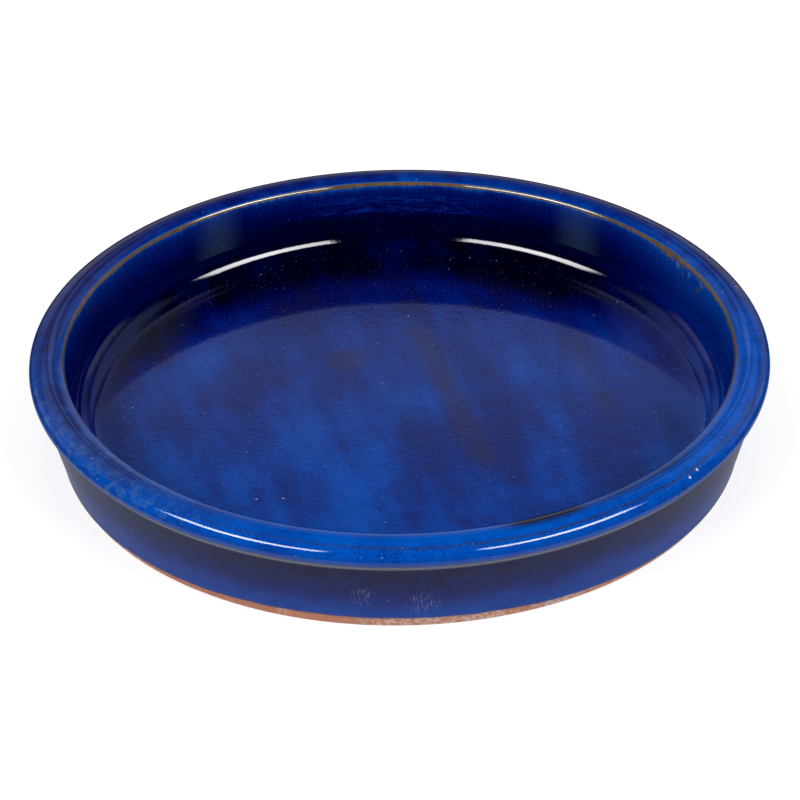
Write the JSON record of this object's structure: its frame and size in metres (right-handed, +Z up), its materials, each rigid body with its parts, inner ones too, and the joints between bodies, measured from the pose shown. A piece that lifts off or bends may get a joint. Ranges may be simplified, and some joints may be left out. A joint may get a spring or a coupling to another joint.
{
  "type": "plant saucer",
  "caption": "Round glazed plant saucer: a shallow fired clay dish with a rolled rim, a bare foot and a flat inner floor for a pot.",
  "frame": {"origin": "centre of the foot, on the surface that the saucer stands on", "axes": "+Z up along the saucer's axis of revolution; X and Y lie along the surface it stands on"},
  "size_m": [0.3399, 0.34, 0.0495],
  "materials": {
    "terracotta": "bare fired clay, matt",
    "blue_glaze": "high gloss cobalt glaze, mottled"
  },
  "bodies": {
    "root": {"clay_body": "terracotta", "inner_glaze": "blue_glaze", "outer_glaze": "blue_glaze"}
  },
  "joints": []
}
